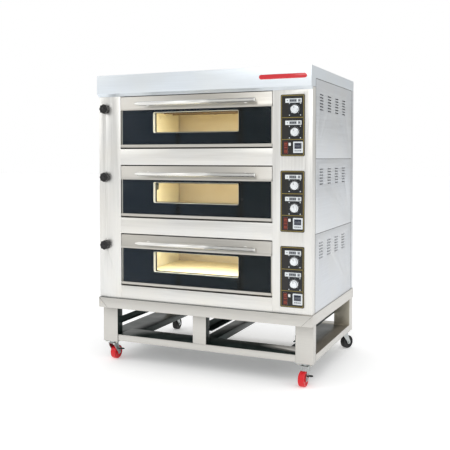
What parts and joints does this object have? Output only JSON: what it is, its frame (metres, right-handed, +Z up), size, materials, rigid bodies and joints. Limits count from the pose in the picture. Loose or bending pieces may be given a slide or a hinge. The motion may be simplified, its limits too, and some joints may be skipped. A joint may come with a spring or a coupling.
{
  "type": "deck oven",
  "caption": "Three-deck electric bakery oven with drop-down glazed doors, control panels, exhaust dampers and a wheeled stand.",
  "frame": {"origin": "on the floor, in the middle of the oven's whole width and depth", "axes": "+X to the right seen from the front, +Y to the back (the doors face -Y), +Z up"},
  "size_m": [1.228, 0.912, 1.58],
  "materials": {
    "satin_stainless": "satin",
    "polished_stainless": "polished",
    "door_glass": "gloss",
    "chamber_steel": "satin",
    "mineral_wool": "matte",
    "hearth_stone": "matte",
    "heater_sheath": "satin",
    "lamp_glass": "gloss",
    "black_panel": "satin",
    "control_plastic": "satin",
    "pale_plastic": "satin",
    "knob_silver": "satin",
    "damper_black": "satin",
    "galvanised_steel": "satin",
    "zinc_plated": "satin",
    "red_wheel": "gloss",
    "black_wheel": "matte",
    "black_lever": "satin",
    "slide_steel": "satin"
  },
  "bodies": {
    "case_and_stand": {"top_hood": "satin_stainless", "left_column": "satin_stainless", "right_column": "satin_stainless", "front_strips": "satin_stainless", "left_side_panels": "satin_stainless", "right_side_panels": "satin_stainless", "rear_panel": "satin_stainless", "deck_shelves": "galvanised_steel", "insulation": "mineral_wool", "hearth_plates": "hearth_stone", "heating_elements": "heater_sheath", "chamber_lamps": "lamp_glass", "control_panels": "black_panel", "exhaust_ducts": "galvanised_steel", "switch_housings": "control_plastic", "timers": "pale_plastic", "thermostats": "control_plastic", "cable_gland": "damper_black", "stand_top_frame": "satin_stainless", "stand_legs": "satin_stainless", "stand_low_frame": "satin_stainless", "tray_slides": "slide_steel", "castor_plates": "zinc_plated", "castor_bolts": "zinc_plated", "baking_chamber_1": "chamber_steel", "baking_chamber_2": "chamber_steel", "baking_chamber_3": "chamber_steel", "door_hinge_pins": "zinc_plated"},
    "door_1": {"door_frame_1": "polished_stainless", "door_glass_1": "door_glass", "door_handle_1": "polished_stainless"},
    "upper_knob_1": {"upper_knob_1": "knob_silver"},
    "lower_knob_1": {"lower_knob_1": "knob_silver"},
    "power_rocker_1": {"power_rocker_1": "pale_plastic"},
    "exhaust_damper_1": {"exhaust_damper_1": "damper_black"},
    "door_2": {"door_frame_2": "polished_stainless", "door_glass_2": "door_glass", "door_handle_2": "polished_stainless"},
    "upper_knob_2": {"upper_knob_2": "knob_silver"},
    "lower_knob_2": {"lower_knob_2": "knob_silver"},
    "power_rocker_2": {"power_rocker_2": "pale_plastic"},
    "exhaust_damper_2": {"exhaust_damper_2": "damper_black"},
    "door_3": {"door_frame_3": "polished_stainless", "door_glass_3": "door_glass", "door_handle_3": "polished_stainless"},
    "upper_knob_3": {"upper_knob_3": "knob_silver"},
    "lower_knob_3": {"lower_knob_3": "knob_silver"},
    "power_rocker_3": {"power_rocker_3": "pale_plastic"},
    "exhaust_damper_3": {"exhaust_damper_3": "damper_black"},
    "front_left_castor": {"front_left_fork": "zinc_plated"},
    "front_left_wheel": {"front_left_wheel": "red_wheel"},
    "front_left_brake": {"front_left_brake_pedal": "black_lever"},
    "front_right_castor": {"front_right_fork": "zinc_plated"},
    "front_right_wheel": {"front_right_wheel": "red_wheel"},
    "front_right_brake": {"front_right_brake_pedal": "black_lever"},
    "back_left_castor": {"back_left_fork": "zinc_plated"},
    "back_left_wheel": {"back_left_wheel": "black_wheel"},
    "back_right_castor": {"back_right_fork": "zinc_plated"},
    "back_right_wheel": {"back_right_wheel": "black_wheel"}
  },
  "joints": [
    {"name": "door_1_hinge", "type": "hinge", "parent": "case_and_stand", "child": "door_1", "pos_m": [-0.034, -0.4025, 1.195], "axis": [1, 0, 0], "range_deg": [0, 90]},
    {"name": "upper_knob_1_turn", "type": "hinge", "parent": "case_and_stand", "child": "upper_knob_1", "pos_m": [0.522, -0.4115, 1.369], "axis": [0, 1, 0], "range_deg": [0, 300]},
    {"name": "lower_knob_1_turn", "type": "hinge", "parent": "case_and_stand", "child": "lower_knob_1", "pos_m": [0.522, -0.4115, 1.258], "axis": [0, 1, 0], "range_deg": [0, 300]},
    {"name": "power_rocker_1_tilt", "type": "hinge", "parent": "case_and_stand", "child": "power_rocker_1", "pos_m": [0.496, -0.4125, 1.199], "axis": [-1, 0, 0], "range_deg": [0, 18]},
    {"name": "exhaust_damper_1_turn", "type": "hinge", "parent": "case_and_stand", "child": "exhaust_damper_1", "pos_m": [-0.568, -0.4115, 1.399], "axis": [0, 1, 0], "range_deg": [0, 90]},
    {"name": "door_2_hinge", "type": "hinge", "parent": "case_and_stand", "child": "door_2", "pos_m": [-0.034, -0.4025, 0.822], "axis": [1, 0, 0], "range_deg": [0, 90]},
    {"name": "upper_knob_2_turn", "type": "hinge", "parent": "case_and_stand", "child": "upper_knob_2", "pos_m": [0.522, -0.4115, 0.996], "axis": [0, 1, 0], "range_deg": [0, 300]},
    {"name": "lower_knob_2_turn", "type": "hinge", "parent": "case_and_stand", "child": "lower_knob_2", "pos_m": [0.522, -0.4115, 0.885], "axis": [0, 1, 0], "range_deg": [0, 300]},
    {"name": "power_rocker_2_tilt", "type": "hinge", "parent": "case_and_stand", "child": "power_rocker_2", "pos_m": [0.496, -0.4125, 0.826], "axis": [-1, 0, 0], "range_deg": [0, 18]},
    {"name": "exhaust_damper_2_turn", "type": "hinge", "parent": "case_and_stand", "child": "exhaust_damper_2", "pos_m": [-0.568, -0.4115, 1.026], "axis": [0, 1, 0], "range_deg": [0, 90]},
    {"name": "door_3_hinge", "type": "hinge", "parent": "case_and_stand", "child": "door_3", "pos_m": [-0.034, -0.4025, 0.449], "axis": [1, 0, 0], "range_deg": [0, 90]},
    {"name": "upper_knob_3_turn", "type": "hinge", "parent": "case_and_stand", "child": "upper_knob_3", "pos_m": [0.522, -0.4115, 0.623], "axis": [0, 1, 0], "range_deg": [0, 300]},
    {"name": "lower_knob_3_turn", "type": "hinge", "parent": "case_and_stand", "child": "lower_knob_3", "pos_m": [0.522, -0.4115, 0.512], "axis": [0, 1, 0], "range_deg": [0, 300]},
    {"name": "power_rocker_3_tilt", "type": "hinge", "parent": "case_and_stand", "child": "power_rocker_3", "pos_m": [0.496, -0.4125, 0.453], "axis": [-1, 0, 0], "range_deg": [0, 18]},
    {"name": "exhaust_damper_3_turn", "type": "hinge", "parent": "case_and_stand", "child": "exhaust_damper_3", "pos_m": [-0.568, -0.4115, 0.653], "axis": [0, 1, 0], "range_deg": [0, 90]},
    {"name": "front_left_swivel", "type": "hinge", "parent": "case_and_stand", "child": "front_left_castor", "pos_m": [-0.563, -0.3565, 0.11], "axis": [0, 0, 1], "continuous": true},
    {"name": "front_left_roll", "type": "hinge", "parent": "front_left_castor", "child": "front_left_wheel", "pos_m": [-0.56188, -0.32452, 0.0375], "axis": [-0.9994, 0.0349, 0], "continuous": true},
    {"name": "front_left_brake_lever", "type": "hinge", "parent": "front_left_castor", "child": "front_left_brake", "pos_m": [-0.5369, -0.32539, 0.0555], "axis": [0.0349, 0.9994, 0], "range_deg": [0, 25]},
    {"name": "front_right_swivel", "type": "hinge", "parent": "case_and_stand", "child": "front_right_castor", "pos_m": [0.563, -0.3565, 0.11], "axis": [0, 0, 1], "continuous": true},
    {"name": "front_right_roll", "type": "hinge", "parent": "front_right_castor", "child": "front_right_wheel", "pos_m": [0.56077, -0.38842, 0.0375], "axis": [0.9976, -0.0698, 0], "continuous": true},
    {"name": "front_right_brake_lever", "type": "hinge", "parent": "front_right_castor", "child": "front_right_brake", "pos_m": [0.58571, -0.39017, 0.0555], "axis": [0.0698, 0.9976, 0], "range_deg": [0, 25]},
    {"name": "back_left_swivel", "type": "hinge", "parent": "case_and_stand", "child": "back_left_castor", "pos_m": [-0.563, 0.3865, 0.11], "axis": [0, 0, 1], "continuous": true},
    {"name": "back_left_roll", "type": "hinge", "parent": "back_left_castor", "child": "back_left_wheel", "pos_m": [-0.563, 0.4185, 0.0375], "axis": [-1, 0, 0], "continuous": true},
    {"name": "back_right_swivel", "type": "hinge", "parent": "case_and_stand", "child": "back_right_castor", "pos_m": [0.563, 0.3865, 0.11], "axis": [0, 0, 1], "continuous": true},
    {"name": "back_right_roll", "type": "hinge", "parent": "back_right_castor", "child": "back_right_wheel", "pos_m": [0.579, 0.41421, 0.0375], "axis": [-0.866, 0.5, 0], "continuous": true}
  ]
}
